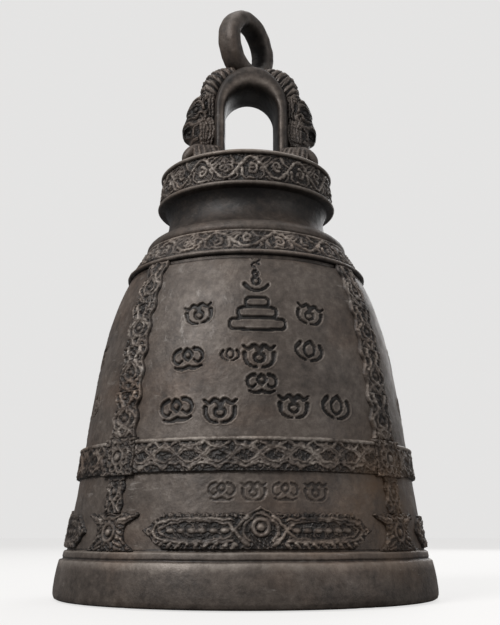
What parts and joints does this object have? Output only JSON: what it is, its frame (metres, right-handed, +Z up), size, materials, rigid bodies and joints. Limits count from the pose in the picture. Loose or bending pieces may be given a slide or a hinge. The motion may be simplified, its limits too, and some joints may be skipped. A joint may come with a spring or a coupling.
{
  "type": "temple bell",
  "caption": "Cast bronze temple bell with relief bands and straps, a dragon-headed yoke, a fixed hanging ring and an iron clapper hung inside on a link.",
  "frame": {"origin": "centre of the lip's bottom face, on which the bell stands", "axes": "+Z up along the bell's axis through the hanging ring; the front panel faces -Y; the yoke spans X with a dragon's head at each end"},
  "size_m": [0.15, 0.15, 0.2555],
  "materials": {
    "bronze": "dark brown patina, satin, with relief tops rubbed a little brighter",
    "iron": "dull forged iron with light brown rust"
  },
  "bodies": {
    "bell": {"bell_shell": "bronze", "cartouche_back": "bronze", "cartouche_front": "bronze", "cartouche_left": "bronze", "cartouche_right": "bronze", "clapper_staple": "iron", "crossing_boss_back_left": "bronze", "crossing_boss_back_right": "bronze", "crossing_boss_front_left": "bronze", "crossing_boss_front_right": "bronze", "crown_band": "bronze", "crown_cap": "bronze", "dragon_head_left": "bronze", "dragon_head_right": "bronze", "dragon_mane_left": "bronze", "dragon_mane_right": "bronze", "finial_back_left": "bronze", "finial_back_right": "bronze", "finial_front_left": "bronze", "finial_front_right": "bronze", "hanging_ring": "bronze", "lower_strap_back_left": "bronze", "lower_strap_back_right": "bronze", "lower_strap_front_left": "bronze", "lower_strap_front_right": "bronze", "shoulder_band": "bronze", "upper_strap_back_left": "bronze", "upper_strap_back_right": "bronze", "upper_strap_front_left": "bronze", "upper_strap_front_right": "bronze", "waist_band_back": "bronze", "waist_band_front": "bronze", "waist_band_left": "bronze", "waist_band_right": "bronze", "yoke_arch": "bronze", "yoke_foot_left": "bronze", "yoke_foot_right": "bronze"},
    "link": {"clapper_link": "iron"},
    "clapper": {"clapper_stem": "iron", "clapper_ball": "iron"}
  },
  "joints": [
    {"name": "link_swing", "type": "hinge", "parent": "bell", "child": "link", "pos_m": [0, 0, 0.1558], "axis": [0, 1, 0], "range_deg": [-20, 20]},
    {"name": "clapper_swing", "type": "hinge", "parent": "link", "child": "clapper", "pos_m": [0, 0, 0.13055], "axis": [1, 0, 0], "range_deg": [-10, 10]}
  ]
}
